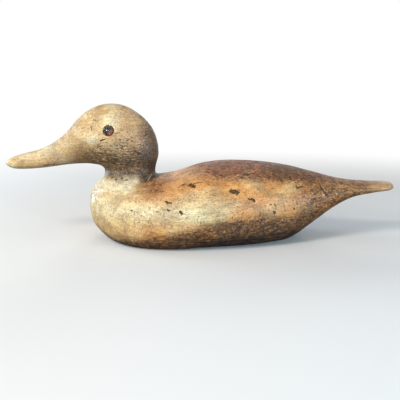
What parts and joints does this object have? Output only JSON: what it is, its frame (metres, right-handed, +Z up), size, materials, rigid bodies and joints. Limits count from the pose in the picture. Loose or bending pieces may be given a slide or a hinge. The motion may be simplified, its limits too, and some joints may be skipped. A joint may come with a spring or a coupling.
{
  "type": "floating duck decoy",
  "caption": "Hollow carved wooden duck decoy with glass eyes, nailed bottom board, inlaid lead ballast and a swinging line ring let into the base.",
  "frame": {"origin": "middle of the length and width, on the surface that the decoy stands on", "axes": "+X towards the tail, -X towards the bill, +Y to the duck's right side, +Z up"},
  "size_m": [0.405, 0.1306, 0.1396],
  "materials": {
    "body_wood": "worn bare softwood, rubbed to a waxy sheen",
    "board_wood": "worn bare softwood, greyed along the edge",
    "head_wood": "worn bare softwood, rubbed pale on the bill and crown",
    "dowel_wood": "plain turned hardwood",
    "screw_steel": "dull plated steel",
    "nail_iron": "rust-darkened iron wire",
    "lead": "dull oxidised lead",
    "brass": "tarnished brass",
    "putty": "hardened wood putty",
    "eye_glass": "clear polished glass",
    "iris_enamel": "red-orange enamel behind the glass",
    "pupil_enamel": "black enamel behind the glass"
  },
  "bodies": {
    "decoy": {"upper_body": "body_wood", "bottom_board": "board_wood", "head": "head_wood", "neck_dowel": "dowel_wood", "head_screw": "screw_steel", "head_screw_washer": "screw_steel", "neck_brads": "nail_iron", "board_nails": "nail_iron", "ballast_weight": "lead", "ballast_screws": "brass", "line_staple": "nail_iron", "left_eye_putty": "putty", "left_eye_glass": "eye_glass", "left_eye_iris": "iris_enamel", "left_eye_pupil": "pupil_enamel", "left_eye_wire": "screw_steel", "right_eye_putty": "putty", "right_eye_glass": "eye_glass", "right_eye_iris": "iris_enamel", "right_eye_pupil": "pupil_enamel", "right_eye_wire": "screw_steel"},
    "ring": {"line_ring": "brass"}
  },
  "joints": [
    {"name": "ring_swing", "type": "hinge", "parent": "decoy", "child": "ring", "pos_m": [-0.07551, 0, 0.0039], "axis": [0, 1, 0], "range_deg": [0, 130]}
  ]
}
